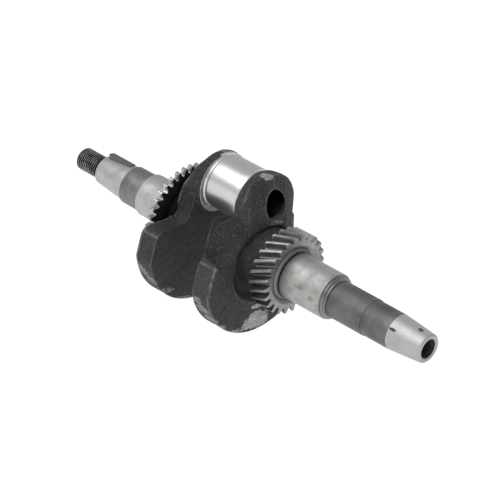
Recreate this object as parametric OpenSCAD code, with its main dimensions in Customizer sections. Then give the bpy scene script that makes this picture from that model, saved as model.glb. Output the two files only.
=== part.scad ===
// Single-throw crankshaft for a small horizontal-shaft engine.
// Millimetres.  +X runs along the main axis towards the tapered output end, +Z points from the
// main axis to the crankpin, and the origin is on the main axis at the middle of the output-side
// main bearing seat.  The shaft is one iron casting in life: it is drawn here as its own named
// features, which meet face to face, with the gears and keys that are pressed into it.

/* [Throw] */
// distance from the main axis to the crankpin axis (half the stroke)
throw_r = 31.75; // [25:0.05:45]
// radius of the ground crankpin
pin_r = 17; // [12:0.05:22]
// station of the middle of the crankpin
pin_x = -70; // [-90:0.5:-50]
// width between the two machined rod thrust faces
pin_w = 27.2; // [20:0.2:40]
// radius of the machined thrust ring on each cheek
thrust_r = 20; // [15:0.1:24]
// radius of the cored hole that lightens the crankpin
core_r = 7.9; // [4:0.1:10]
// height of that hole above the middle of the crankpin
core_up = 1.4; // [0:0.1:4]

/* [Cheeks] */
// distance between the rough inner faces of the two cheeks
cheek_gap = 33.6; // [28:0.2:44]
// thickness of each cheek and of its counterweight
cheek_t = 14.2; // [10:0.2:20]
// thickness of the flywheel-side cheek
fly_cheek_t = 13.4; // [10:0.2:20]
// outer radius of the output-side counterweight
weight_r = 48.3; // [40:0.1:60]
// outer radius of the flywheel-side counterweight
fly_weight_r = 47.4; // [40:0.1:60]
// half the width across the flat flanks of the counterweights
weight_half = 43.6; // [30:0.1:50]
// height of the flank shoulders above the main axis
weight_top = 1.5; // [-10:0.5:20]
// half the width of the output-side cheek at the crankpin
lobe_half = 23.6; // [18:0.1:30]
// top of the output-side cheek above the main axis
lobe_top = 49.4; // [45:0.1:60]
// height where the outer face of a cheek starts to slope back
slope_z = 24; // [15:0.5:40]
// slope of the outer face above that height, degrees
slope_a = 14; // [5:1:40]
// height where it slopes back further
crest_z = 33.5; // [28:0.5:45]
// slope above that height, degrees
crest_a = 26; // [10:1:45]
// lean of each half of the outer face away from the casting's parting line, degrees
crown_a = 11; // [0:1:20]
// radius of the turned pocket in the output-side counterweight
pocket_r = 28.6; // [26:0.1:34]
// depth of that pocket
pocket_d = 5; // [2:0.5:8]

/* [Flywheel end] */
// radius of the flywheel thread
thread_r = 7.1; // [5:0.05:10]
// thread pitch
pitch = 1.5; // [1:0.05:2]
// length of the thread with its run-out
thread_len = 19.3; // [12:0.1:30]
// radius of the flywheel taper at its small end
fly_small_r = 9; // [7:0.05:12]
// radius of the flywheel taper at its large end
fly_big_r = 11.4; // [8:0.05:14]
// length of the flywheel taper
fly_len = 23.9; // [15:0.1:40]
// radius of the turned band next to the taper
band_r = 12.1; // [10:0.05:16]
// length of the turned band
band_len = 14.9; // [8:0.1:25]
// radius of the flywheel-side main bearing seat
seat_r = 13.5; // [11:0.05:18]

/* [Output end] */
// radius of the output-side main bearing seat
main_r = 14.29; // [11:0.01:18]
// length of the output-side main bearing seat
main_len = 30.6; // [20:0.1:40]
// radius of the turned output shaft
out_r = 11.5; // [8:0.05:16]
// length of the turned output shaft
out_len = 26; // [15:0.5:40]
// radius of the output shaft next to the taper
neck_r = 11.11; // [8:0.01:14]
// length of that neck
neck_len = 19.1; // [10:0.1:30]
// length of the output taper
cone_len = 23.2; // [15:0.1:35]
// fall in radius over that length (2 1/4 inch per foot on diameter)
cone_drop = 2.17; // [1:0.01:4]
// minor radius of the tapped hole in the output end
tap_r = 4.35; // [3:0.05:6]
// radius of the countersink at the mouth of that hole
sink_r = 6.5; // [4:0.05:8]

/* [Gears and keys] */
// teeth on the helical timing gear
timing_teeth = 24; // [16:1:36]
// tip radius of the timing gear
timing_tip = 25.3; // [18:0.1:32]
// root radius of the timing gear
timing_root = 21.3; // [15:0.1:28]
// face width of the timing gear
timing_w = 13.2; // [8:0.1:20]
// angle the timing gear teeth turn through over the face width
timing_twist = 14; // [0:0.5:25]
// teeth on the thin balancer gear
balance_teeth = 37; // [24:1:48]
// tip radius of the balancer gear
balance_tip = 32.9; // [25:0.1:40]
// root radius of the balancer gear
balance_root = 29.2; // [22:0.1:36]
// face width of the balancer gear
balance_w = 3.6; // [2:0.1:8]
// width of the flywheel key
key_w = 4.76; // [3:0.01:6]
// radius of the half-moon flywheel key
key_r = 9.5; // [6:0.05:14]

/* [Hidden] */
$fn = 96;
eps = 0.02;
inner_x = cheek_gap / 2;
outer_x = inner_x + cheek_t;
main_x0 = -main_len / 2;
main_x1 = main_len / 2;
collar_r = 15;
ridge_y = 19.4;
ridge_a = 25;
flank_x = 6;
flank_a = 62;
gear_seat_r = 16.2;
gear_x1 = main_x0 - 0.4;
gear_x0 = gear_x1 - timing_w;
pto_face_x = pin_x + outer_x;
fly_face_x = pin_x - inner_x - fly_cheek_t;
thin_x0 = pin_x - 37.2;
thin_seat_r = 17;
thin_step_r = 21.4;
seat_x0 = -134.9;
band_x0 = seat_x0 - band_len;
fly_x0 = band_x0 - fly_len;
tip_x = fly_x0 - thread_len;
step_len = 3.4;
step_r = 12.6;
bevel_len = 2.2;
bevel_r = 13;
out_x0 = main_x1 + step_len;
neck_x0 = out_x0 + out_len;
cone_x0 = neck_x0 + neck_len;
end_x = cone_x0 + cone_len;
cone_end_r = neck_r - cone_drop;
key_mid_x = fly_x0 + 11.2;
key_top = 11.7;
key_chord = 1.6;
key_bottom = key_top + key_chord - key_r;
key_gap = 0.03;
small_key_w = 4;
small_key_len = 10;
small_key_h = 4;
fit = 0.02;

// a round bar along X between two stations
module bar(x0, x1, r) {
  translate([x0, 0, 0]) rotate([0, 90, 0]) cylinder(h = x1 - x0, r = r);
}

// a cone along X between two stations
module cone(x0, x1, r0, r1) {
  translate([x0, 0, 0]) rotate([0, 90, 0]) cylinder(h = x1 - x0, r1 = r0, r2 = r1);
}

// extrude a drawing made in the Y-Z plane along X
module along(x0, x1) {
  translate([x0, 0, 0]) rotate([90, 0, 90]) linear_extrude(height = x1 - x0) children();
}

// the space cut into the shaft for the half-moon key
module key_seat() {
  translate([key_mid_x, 0, key_top + key_chord]) rotate([90, 0, 0])
    cylinder(h = key_w + 2 * key_gap, r = key_r + key_gap, center = true);
}

// flywheel thread, drawn at its crest radius so that the nut has its true size
module flywheel_thread() {
  core = thread_r - 0.85;
  turns = floor((thread_len - 3) / pitch);
  color([0.25, 0.25, 0.26]) union() {
    cone(tip_x, tip_x + 1.2, core - 0.6, core);
    bar(tip_x + 1.2, fly_x0, core);
    bar(tip_x + 1.2, tip_x + 1.2 + pitch * turns, thread_r);
  }
}

// ground flywheel taper with the seat for the half-moon key
module flywheel_taper() {
  color([0.72, 0.72, 0.74]) difference() {
    cone(fly_x0, band_x0, fly_small_r, fly_big_r);
    key_seat();
  }
}

// turned band between the taper and the bearing seat
module seal_band() {
  color([0.42, 0.42, 0.43]) difference() {
    bar(band_x0, seat_x0, band_r);
    key_seat();
  }
}

// flywheel-side main bearing seat
module flywheel_journal() {
  color([0.72, 0.72, 0.74]) bar(seat_x0, thin_x0, seat_r);
}

// half-moon key for the flywheel
module flywheel_key() {
  color([0.35, 0.35, 0.37]) intersection() {
    translate([key_mid_x, 0, key_top + key_chord]) rotate([90, 0, 0])
      cylinder(h = key_w, r = key_r, center = true);
    translate([key_mid_x - 20, -10, -10]) cube([40, 20, 10 + key_top]);
  }
}

// corner of a gear outline: radius and angle from the middle of a tooth
function corner(r, a) = [r * sin(a), r * cos(a)];

// the six corners of one tooth, walked clockwise from the root on its left
function tooth(i, root, tip, teeth, foot, crest) =
  let (c = i * 360 / teeth, h = 180 / teeth, m = (root + tip) / 2, w = (foot + crest) * 0.52)
  [corner(root, c - h * foot), corner(m, c - h * w), corner(tip, c - h * crest),
   corner(tip, c + h * crest), corner(m, c + h * w), corner(root, c + h * foot)];

// whole gear outline
module gear_2d(root, tip, teeth, foot, crest) {
  polygon([for (i = [0 : teeth - 1]) each tooth(i, root, tip, teeth, foot, crest)]);
}

// thin gear that drives the balancer, pressed against the flywheel-side cheek
module balancer_gear() {
  color([0.5, 0.5, 0.52]) difference() {
    along(thin_x0, thin_x0 + balance_w)
      gear_2d(balance_root, balance_tip, balance_teeth, 0.7, 0.28);
    bar(thin_x0 - 1, thin_x0 + balance_w + 1, thin_seat_r + fit);
  }
}

// turned seat and shoulder that carry the thin gear
module flywheel_gear_hub() {
  color([0.3, 0.3, 0.31]) union() {
    bar(thin_x0, fly_face_x, thin_seat_r);
    bar(thin_x0 + balance_w, fly_face_x, thin_step_r);
  }
}

// the output-side cheek outline on the near side, from the top down to the main axis
function output_near() = [
  [0, lobe_top], [6, lobe_top - 0.4], [12, lobe_top - 1.8], [16.5, lobe_top - 4.1],
  [20.3, lobe_top - 7.4], [lobe_half - 1.2, lobe_top - 11.8], [lobe_half, lobe_top - 17],
  [lobe_half, lobe_top - 22], [lobe_half - 0.1, 25.6], [30, 25.2], [39, 25.6], [40.6, 24],
  [40.9, 18], [40.9, 4], [41.4, weight_top], [weight_half, weight_top], [weight_half, 0]];

// the output-side cheek outline on the far side, whose shoulder slopes away
function output_far() = [
  [0, lobe_top], [6, lobe_top - 0.4], [12, lobe_top - 1.8], [16.5, lobe_top - 4.1],
  [20.3, lobe_top - 7.4], [lobe_half - 1.2, lobe_top - 11.8], [lobe_half, lobe_top - 17],
  [24.4, 28], [29, 26], [32, 24.4], [33.5, 22], [35.6, 17.5], [38.1, 10.7], [39.7, 6],
  [41.4, weight_top], [weight_half, weight_top], [weight_half, 0]];

// one side of the flywheel-side cheek outline, with its narrow neck
function flywheel_side() = [
  [0, 49], [5, 48.6], [9.7, 47.2], [14, 44.7], [17.6, 41.3], [20.2, 37], [21.2, 32],
  [20.6, 27], [18.7, 23], [17.8, 19], [17.5, 14], [17.7, 10], [18.5, 7], [20.3, 4.8],
  [23.5, 3.2], [28, 2.4], [36, 1.8], [41.2, weight_top],
  [weight_half, weight_top], [weight_half, 0]];

// a cheek outline from its near (-Y) and far (+Y) halves
module cheek_2d(near, far) {
  m = len(near);
  n = len(far);
  polygon(concat([for (i = [0 : n - 1]) far[i]],
                 [for (i = [m - 1 : -1 : 1]) [-near[i][0], near[i][1]]]));
}

// outline of a counterweight, below the main axis
module weight_2d(r) {
  intersection() {
    circle(r = r);
    translate([-weight_half, -60]) square([2 * weight_half, 60]);
  }
}

// everything outside one half of an outer face, which leans away from the parting line
module beyond(side, x, z, lean) {
  translate([x, 0, z]) rotate([0, -lean, 0]) rotate([0, 0, side * crown_a])
    translate([0, -60, lean > 0 ? -60 : 0]) cube([40, 120, 120]);
}

// everything outside a flank that leans inwards from a ridge
module flank(side, x, z, lean) {
  translate([x, side * ridge_y, z]) rotate([0, 0, side * lean])
    translate([0, -60, 0]) cube([60, 120, 80]);
}

// wedges that slope the outer face and the shoulders of a cheek, output side up
module cheek_slopes(face_x) {
  for (side = [-1, 1]) {
    beyond(side, face_x, weight_top, 0);
    beyond(side, face_x, slope_z, slope_a);
    beyond(side, face_x - (crest_z - slope_z) * tan(slope_a), crest_z, crest_a);
    flank(side, face_x - ridge_y * tan(crown_a), weight_top, ridge_a);
    flank(side, face_x - flank_x, slope_z, flank_a);
  }
}

// output-side cheek, with the mouth of the cored crankpin
module output_cheek() {
  color([0.16, 0.16, 0.17]) difference() {
    along(pin_x + inner_x, pto_face_x) cheek_2d(output_near(), output_far());
    cheek_slopes(pto_face_x);
    translate([0, 0, throw_r + core_up]) bar(pin_x, pto_face_x + 5, core_r);
    bar(pto_face_x - pocket_d, pto_face_x + 5, pocket_r - 4);
  }
}

// output-side counterweight with the turned pocket behind the timing gear
module output_counterweight() {
  color([0.16, 0.16, 0.17]) difference() {
    along(pin_x + inner_x, pto_face_x) weight_2d(weight_r);
    bar(pto_face_x - pocket_d, pto_face_x + 5, pocket_r);
  }
}

// flywheel-side cheek
module flywheel_cheek() {
  color([0.16, 0.16, 0.17]) difference() {
    along(fly_face_x, pin_x - inner_x) cheek_2d(flywheel_side(), flywheel_side());
    translate([fly_face_x, 0, 0]) mirror([1, 0, 0]) cheek_slopes(0);
  }
}

// flywheel-side counterweight
module flywheel_counterweight() {
  color([0.16, 0.16, 0.17]) along(fly_face_x, pin_x - inner_x) weight_2d(fly_weight_r);
}

// ground crankpin with its cored middle
module crankpin() {
  color([0.85, 0.85, 0.86]) translate([0, 0, throw_r]) difference() {
    bar(pin_x - pin_w / 2, pin_x + pin_w / 2, pin_r);
    translate([0, 0, core_up]) bar(pin_x - 10, pin_x + pin_w / 2 + 1, core_r);
  }
}

// a machined thrust ring, cut off level with the top of the crankpin
module thrust_ring(x0, x1) {
  intersection() {
    translate([0, 0, throw_r]) bar(x0, x1, thrust_r);
    translate([x0 - 1, -30, 0]) cube([x1 - x0 + 2, 60, throw_r + pin_r - 0.2]);
  }
}

// machined thrust ring on the flywheel-side cheek
module flywheel_thrust_face() {
  color([0.6, 0.6, 0.6]) thrust_ring(pin_x - inner_x, pin_x - pin_w / 2);
}

// machined thrust ring on the output-side cheek
module output_thrust_face() {
  color([0.6, 0.6, 0.6]) difference() {
    thrust_ring(pin_x + pin_w / 2, pin_x + inner_x);
    translate([0, 0, throw_r + core_up]) bar(pin_x, pin_x + inner_x + 1, core_r);
  }
}

// turned hub that carries the timing gear, with its collar and keyway
module timing_gear_hub() {
  color([0.3, 0.3, 0.31]) difference() {
    union() {
      bar(pto_face_x - pocket_d, gear_x0, 20);
      bar(gear_x0, main_x0 - 2.8, gear_seat_r);
      bar(main_x0 - 2.8, main_x0 - 0.8, collar_r);
      bar(main_x0 - 0.8, main_x0, main_r - 0.4);
    }
    translate([gear_x0 + 0.4, -small_key_w / 2 - fit, gear_seat_r - 2 - fit])
      cube([small_key_len + 0.4, small_key_w + 2 * fit, 10]);
  }
}

// helical timing gear
module timing_gear() {
  color([0.62, 0.62, 0.63]) difference() {
    translate([gear_x0, 0, 0]) rotate([90, 0, 90])
      linear_extrude(height = timing_w, twist = timing_twist, slices = 3)
        gear_2d(timing_root, timing_tip, timing_teeth, 0.72, 0.3);
    bar(gear_x0 - 1, gear_x1 + 1, gear_seat_r + fit);
    bar(gear_x1 - 3.4, gear_x1 + 1, 20);
    translate([gear_x0 - 1, -small_key_w / 2 - fit, 0])
      cube([timing_w + 2, small_key_w + 2 * fit, gear_seat_r + 2 + fit]);
  }
}

// key that locks the timing gear to its hub
module timing_gear_key() {
  color([0.5, 0.5, 0.52]) translate([gear_x0 + 0.6, -small_key_w / 2, gear_seat_r - 2])
    cube([small_key_len - 0.8, small_key_w, small_key_h]);
}

// output-side main bearing seat
module output_journal() {
  color([0.72, 0.72, 0.74]) bar(main_x0, main_x1, main_r);
}

// bevelled shoulder and small step that the seal slides over
module output_shoulder() {
  color([0.4, 0.4, 0.41]) union() {
    cone(main_x1, main_x1 + bevel_len, main_r, bevel_r);
    bar(main_x1 + bevel_len, out_x0, step_r);
  }
}

// turned output shaft
module output_shaft() {
  color([0.5, 0.5, 0.51]) bar(out_x0, neck_x0, out_r);
}

// slightly smaller neck before the taper
module output_neck() {
  color([0.5, 0.5, 0.51]) bar(neck_x0, cone_x0, neck_r);
}

// ground output taper with the tapped hole in its end
module output_taper() {
  color([0.75, 0.75, 0.77]) difference() {
    union() {
      cone(cone_x0, end_x - 1, neck_r, cone_end_r + 0.09);
      cone(end_x - 1, end_x, cone_end_r + 0.09, cone_end_r - 0.9);
    }
    bar(cone_x0 - 1 + 4, end_x + 1, tap_r);
    cone(end_x - (sink_r - tap_r) - eps, end_x + eps, tap_r, sink_r + 2 * eps);
  }
}

flywheel_thread();
flywheel_taper();
seal_band();
flywheel_journal();
flywheel_key();
balancer_gear();
flywheel_gear_hub();
flywheel_cheek();
flywheel_counterweight();
flywheel_thrust_face();
crankpin();
output_thrust_face();
output_cheek();
output_counterweight();
timing_gear_hub();
timing_gear();
timing_gear_key();
output_journal();
output_shoulder();
output_shaft();
output_neck();
output_taper();
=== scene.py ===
"""Visual model of a small-engine crankshaft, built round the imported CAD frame."""

import math

import bmesh
import bpy
import numpy as np
from mathutils import Matrix, Vector, noise


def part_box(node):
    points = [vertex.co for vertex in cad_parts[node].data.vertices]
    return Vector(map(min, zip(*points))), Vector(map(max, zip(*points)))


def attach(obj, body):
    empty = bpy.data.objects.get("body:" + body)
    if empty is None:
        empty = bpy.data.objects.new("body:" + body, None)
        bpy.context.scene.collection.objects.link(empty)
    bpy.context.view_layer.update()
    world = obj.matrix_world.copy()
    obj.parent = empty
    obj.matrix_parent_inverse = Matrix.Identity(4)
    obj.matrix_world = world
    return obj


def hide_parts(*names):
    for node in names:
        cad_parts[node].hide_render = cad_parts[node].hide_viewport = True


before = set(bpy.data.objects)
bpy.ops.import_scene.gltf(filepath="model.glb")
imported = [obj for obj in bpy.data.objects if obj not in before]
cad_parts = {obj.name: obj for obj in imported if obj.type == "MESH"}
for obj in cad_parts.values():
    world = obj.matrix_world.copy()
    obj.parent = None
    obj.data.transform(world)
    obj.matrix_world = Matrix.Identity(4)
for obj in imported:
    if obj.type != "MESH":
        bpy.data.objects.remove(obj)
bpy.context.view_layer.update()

MM = 0.001
SHAFT = "crankshaft"
SEGMENTS = 160
TAU = 2 * math.pi


def span(node):
    """The node's first and last station along the shaft, in millimetres."""
    lo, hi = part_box(node)
    return lo[0] / MM, hi[0] / MM


def reach(node):
    """The node's largest height above the main axis, in millimetres."""
    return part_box(node)[1][2] / MM


# ---------------------------------------------------------------- stations, from the CAD frame
THREAD_X0, THREAD_X1 = span("flywheel_thread")
TAPER_X0, TAPER_X1 = span("flywheel_taper")
BAND_X0, BAND_X1 = span("seal_band")
SEAT_X0, SEAT_X1 = span("flywheel_journal")
THIN_X0, THIN_X1 = span("balancer_gear")
HUB_X0, HUB_X1 = span("flywheel_gear_hub")
FLY_X1 = span("flywheel_cheek")[1]
PIN_X0, PIN_X1 = span("crankpin")
OUT_X0 = span("output_cheek")[0]
OUT_FACE = span("output_counterweight")[1]
FLY_FACE = span("flywheel_counterweight")[0]
COLLAR_X0 = span("timing_gear_hub")[0]
GEAR_X0, GEAR_X1 = span("timing_gear")
MAIN_X0, MAIN_X1 = span("output_journal")
STEP_X0, STEP_X1 = span("output_shoulder")
SHAFT_X0, SHAFT_X1 = span("output_shaft")
NECK_X0, NECK_X1 = span("output_neck")
CONE_X0, CONE_X1 = span("output_taper")
MAIN_R = reach("output_journal")
SEAT_R = reach("flywheel_journal")
BAND_R = reach("seal_band")
SHAFT_R = reach("output_shaft")
NECK_R = reach("output_neck")
TAPER_R0, TAPER_R1 = 9.0, 11.4
CONE_R1 = NECK_R - 2.17
PIN_R = (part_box("crankpin")[1][2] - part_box("crankpin")[0][2]) / 2 / MM
PIN_Z = (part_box("crankpin")[1][2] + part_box("crankpin")[0][2]) / 2 / MM
WEIGHT_R = -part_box("output_counterweight")[0][2] / MM
FLY_WEIGHT_R = -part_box("flywheel_counterweight")[0][2] / MM
WEIGHT_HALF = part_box("output_counterweight")[1][1] / MM
CORE_R, CORE_Z = 7.9, PIN_Z + 1.5  # cored hole in the crankpin
KEY_TOP, KEY_MID = 11.7, 11.2  # the key's flat top, and its middle measured from the taper's small end
KEY_SEAT = (16.0, 9.53, 2.41)  # its seat: top of the cutter, radius and half width
THREAD_PITCH, THREAD_CREST, THREAD_DEPTH = 1.5, 7.1, 1.0
RIDGE_Y = 19.4  # where the output web's face turns down into its flank
CAST_CORNER = 1.5  # corner radius of the castings


# ---------------------------------------------------------------- mesh helpers
def finish_mesh(name, bm, material, nodes, body=SHAFT, sharp=32.0):
    """Turns a bmesh in millimetres into a piece that rides on a body."""
    bmesh.ops.recalc_face_normals(bm, faces=bm.faces)
    bmesh.ops.scale(bm, vec=(MM, MM, MM), verts=bm.verts)
    mesh = bpy.data.meshes.new(name)
    bm.to_mesh(mesh)
    bm.free()
    mesh.shade_smooth()
    mesh.set_sharp_from_angle(angle=math.radians(sharp))
    obj = bpy.data.objects.new(name, mesh)
    bpy.context.scene.collection.objects.link(obj)
    mesh.materials.append(material)
    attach(obj, body)
    if nodes:
        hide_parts(*nodes)
    return obj


def rounded(profile, radius=0.35, steps=3):
    """Rounds every inner corner of a lathe profile that bends, without moving its ends."""
    out = [profile[0]]
    for before, here, after in zip(profile, profile[1:], profile[2:]):
        a, b, c = Vector(before), Vector(here), Vector(after)
        u, v = a - b, c - b
        if u.length < 1e-6 or v.length < 1e-6 or abs(u.angle(v) - math.pi) < 0.12:
            out.append(here)
            continue
        cut = min(radius, u.length * 0.45, v.length * 0.45)
        p, q = b + u.normalized() * cut, b + v.normalized() * cut
        for k in range(steps + 1):
            t = k / steps
            out.append(tuple(p * (1 - t) ** 2 + b * 2 * t * (1 - t) + q * t * t))
    out.append(profile[-1])
    return out


def divided(profile, pitch=4.0):
    """Adds stations along the long straight runs of a profile."""
    out = [profile[0]]
    for a, b in zip(profile, profile[1:]):
        n = max(1, int(math.dist(a, b) / pitch))
        out += [(a[0] + (b[0] - a[0]) * k / n, a[1] + (b[1] - a[1]) * k / n) for k in range(1, n + 1)]
    return out


def lathe(bm, profile, centre=(0.0, 0.0), segments=SEGMENTS):
    """Spins a profile of (station, radius) round an axis parallel to X; r = 0 ends close it."""
    rings = []
    for x, r in profile:
        if r < 1e-6:
            rings.append([bm.verts.new((x, centre[0], centre[1]))])
        else:
            rings.append([bm.verts.new((x, centre[0] + r * math.sin(TAU * k / segments),
                                        centre[1] + r * math.cos(TAU * k / segments)))
                          for k in range(segments)])
    for a, b in zip(rings, rings[1:]):
        for k in range(segments):
            j = (k + 1) % segments
            if len(a) == 1 and len(b) == 1:
                continue
            if len(a) == 1:
                bm.faces.new((a[0], b[k], b[j]))
            elif len(b) == 1:
                bm.faces.new((a[k], b[0], a[j]))
            else:
                bm.faces.new((a[k], b[k], b[j], a[j]))


def closed_lathe(bm, loop, centre=(0.0, 0.0), segments=SEGMENTS):
    """Spins a closed loop of (station, radius) into a ring-shaped solid."""
    rings = [[bm.verts.new((x, centre[0] + r * math.sin(TAU * k / segments),
                            centre[1] + r * math.cos(TAU * k / segments)))
              for k in range(segments)] for x, r in loop]
    for a, b in zip(rings, rings[1:] + rings[:1]):
        for k in range(segments):
            j = (k + 1) % segments
            bm.faces.new((a[k], b[k], b[j], a[j]))


def turned(name, profile, material, nodes, centre=(0.0, 0.0), radius=0.35, sharp=32.0):
    bm = bmesh.new()
    lathe(bm, divided(rounded(profile, radius)), centre)
    return finish_mesh(name, bm, material, nodes, sharp=sharp)


def cut_away(obj, cutter_bm):
    """Subtracts a bmesh in millimetres from a piece and applies the result."""
    bmesh.ops.recalc_face_normals(cutter_bm, faces=cutter_bm.faces)
    bmesh.ops.scale(cutter_bm, vec=(MM, MM, MM), verts=cutter_bm.verts)
    mesh = bpy.data.meshes.new("cutter")
    cutter_bm.to_mesh(mesh)
    cutter_bm.free()
    cutter = bpy.data.objects.new("cutter", mesh)
    bpy.context.scene.collection.objects.link(cutter)
    mod = obj.modifiers.new("cut", "BOOLEAN")
    mod.operation, mod.object, mod.solver = "DIFFERENCE", cutter, "EXACT"
    deps = bpy.context.evaluated_depsgraph_get()
    result = bpy.data.meshes.new_from_object(obj.evaluated_get(deps))
    obj.modifiers.clear()
    old = obj.data
    obj.data = result
    bpy.data.meshes.remove(old)
    bpy.data.objects.remove(cutter)
    bpy.data.meshes.remove(mesh)
    result.shade_smooth()
    result.set_sharp_from_angle(angle=math.radians(32))


def smoothstep(a, b, v):
    t = min(1.0, max(0.0, (v - a) / (b - a)))
    return t * t * (3 - 2 * t)


def soft_min(a, b, k):
    h = min(1.0, max(0.0, 0.5 + 0.5 * (b - a) / k))
    return b * (1 - h) + a * h - k * h * (1 - h)


# ---------------------------------------------------------------- materials
class Nodes:
    """Short names for building a node material."""

    def __init__(self, name):
        self.mat = bpy.data.materials.new(name)
        self.mat.use_nodes = True
        self.tree = self.mat.node_tree
        self.bsdf = self.tree.nodes["Principled BSDF"]
        self.coords = self.add("ShaderNodeTexCoord").outputs["Object"]
        self.normal = None

    def add(self, kind, **props):
        node = self.tree.nodes.new(kind)
        for key, value in props.items():
            setattr(node, key, value)
        return node

    def link(self, source, target):
        if isinstance(source, (int, float, tuple)):
            target.default_value = source
        else:
            self.tree.links.new(source, target)

    def scaled(self, scale, shift=(0, 0, 0)):
        node = self.add("ShaderNodeMapping")
        node.inputs["Scale"].default_value = scale
        node.inputs["Location"].default_value = shift
        self.link(self.coords, node.inputs["Vector"])
        return node.outputs["Vector"]

    def noise(self, scale, detail=4.0, rough=0.55, stretch=None, shift=(0, 0, 0)):
        node = self.add("ShaderNodeTexNoise")
        node.inputs["Scale"].default_value = scale
        node.inputs["Detail"].default_value = detail
        node.inputs["Roughness"].default_value = rough
        source = self.scaled(stretch or (1, 1, 1), shift)
        self.link(source, node.inputs["Vector"])
        return node.outputs["Fac"]

    def ramp(self, value, low, high, a=0.0, b=1.0):
        node = self.add("ShaderNodeMapRange", interpolation_type="SMOOTHSTEP")
        self.link(value, node.inputs["Value"])
        for key, number in (("From Min", low), ("From Max", high), ("To Min", a), ("To Max", b)):
            node.inputs[key].default_value = number
        return node.outputs["Result"]

    def math(self, operation, a, b=0.0, c=0.0):
        node = self.add("ShaderNodeMath", operation=operation)
        for k, value in enumerate((a, b, c)):
            self.link(value, node.inputs[k])
        return node.outputs[0]

    def mix(self, fac, a, b):
        node = self.add("ShaderNodeMix", data_type="RGBA")
        self.link(fac, node.inputs[0])
        for socket, value in ((node.inputs[6], a), (node.inputs[7], b)):
            if isinstance(value, tuple):
                socket.default_value = (*value, 1.0) if len(value) == 3 else value
            else:
                self.link(value, socket)
        return node.outputs[2]

    def axis(self, name):
        """One coordinate of the object's own position, in metres."""
        node = self.add("ShaderNodeSeparateXYZ")
        self.link(self.coords, node.inputs[0])
        return node.outputs[name]

    def normal_part(self, name):
        geometry = self.add("ShaderNodeTexCoord")
        node = self.add("ShaderNodeSeparateXYZ")
        self.link(geometry.outputs["Normal"], node.inputs[0])
        return node.outputs[name]

    def radius(self, y=0.0, z=0.0):
        """Distance from an axis parallel to X, in metres."""
        dy = self.math("SUBTRACT", self.axis("Y"), y)
        dz = self.math("SUBTRACT", self.axis("Z"), z)
        return self.math("SQRT", self.math("ADD", self.math("MULTIPLY", dy, dy),
                                           self.math("MULTIPLY", dz, dz)))

    def spot(self, centre, size, ragged=0.35, scale=420.0):
        """A ragged patch round a point in millimetres: 1 inside, 0 outside."""
        node = self.add("ShaderNodeMapping")
        node.inputs["Location"].default_value = tuple(-c / s for c, s in zip(centre, size))
        node.inputs["Scale"].default_value = tuple(1 / (s * MM) for s in size)
        self.link(self.coords, node.inputs["Vector"])
        length = self.add("ShaderNodeVectorMath", operation="LENGTH")
        self.link(node.outputs["Vector"], length.inputs[0])
        edge = self.math("MULTIPLY_ADD", self.noise(scale, 5.0, 0.7), ragged * 2, -ragged)
        reach_ = self.math("ADD", length.outputs["Value"], edge)
        return self.ramp(reach_, 1.08, 0.86)

    def most(self, *masks):
        out = masks[0]
        for mask in masks[1:]:
            out = self.math("MAXIMUM", out, mask)
        return out

    def edges(self, low, high):
        geometry = self.add("ShaderNodeNewGeometry")
        return self.ramp(geometry.outputs["Pointiness"], low, high)

    def wear_and_highlight(self):
        """The amount of edge wear and painted edge highlight stored on a casting's vertices."""
        return self.add("ShaderNodeAttribute", attribute_name="wear_and_highlight").outputs["Fac"]

    def bump(self, height, strength, distance):
        node = self.add("ShaderNodeBump")
        node.inputs["Strength"].default_value = strength
        node.inputs["Distance"].default_value = distance
        self.link(height, node.inputs["Height"])
        if self.normal is not None:
            self.link(self.normal, node.inputs["Normal"])
        self.normal = node.outputs["Normal"]

    def done(self, colour, roughness, metallic=1.0, specular=0.5):
        if isinstance(colour, tuple):
            colour = (*colour, 1.0)
        self.link(colour, self.bsdf.inputs["Base Color"])
        self.link(roughness, self.bsdf.inputs["Roughness"])
        self.link(metallic, self.bsdf.inputs["Metallic"])
        self.bsdf.inputs["Specular IOR Level"].default_value = specular
        if self.normal is not None:
            self.link(self.normal, self.bsdf.inputs["Normal"])
        return self.mat


def steel(name, colour, dark, roughness, rings=0.35, ring_scale=2600.0, blotch=0.5, stains=(),
          stain_colour=(0.16, 0.10, 0.06), blotch_scale=60.0):
    """Machined steel: turning or grinding rings round the axis, blotches, and optional stains."""
    n = Nodes(name)
    ring = n.noise(ring_scale, 2.0, 0.5, stretch=(1.0, 0.004, 0.004))
    fine = n.noise(ring_scale * 3.1, 2.0, 0.6, stretch=(1.0, 0.01, 0.01), shift=(3, 1, 2))
    cloud = n.noise(blotch_scale, 6.0, 0.62)
    grit = n.noise(1500.0, 3.0, 0.7)
    tone = n.math("MULTIPLY", n.ramp(cloud, 0.35, 0.68), blotch)
    tone = n.math("ADD", tone, n.math("MULTIPLY_ADD", ring, rings, -rings * 0.5))
    tone = n.math("ADD", tone, n.math("MULTIPLY_ADD", grit, 0.24, -0.12))
    tint = n.mix(n.ramp(tone, 0.0, 0.75), colour, dark)
    rough = n.math("MULTIPLY_ADD", tone, 0.16, roughness)
    if stains:
        mask = n.most(*[n.spot(*spot) for spot in stains])
        tint = n.mix(n.math("MULTIPLY", mask, 0.85), tint, stain_colour)
        rough = n.math("ADD", rough, n.math("MULTIPLY", mask, 0.3))
    n.bump(n.math("ADD", ring, fine), 0.22, 0.00006)
    n.bump(grit, 0.12, 0.00004)
    return n.done(tint, rough)


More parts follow.
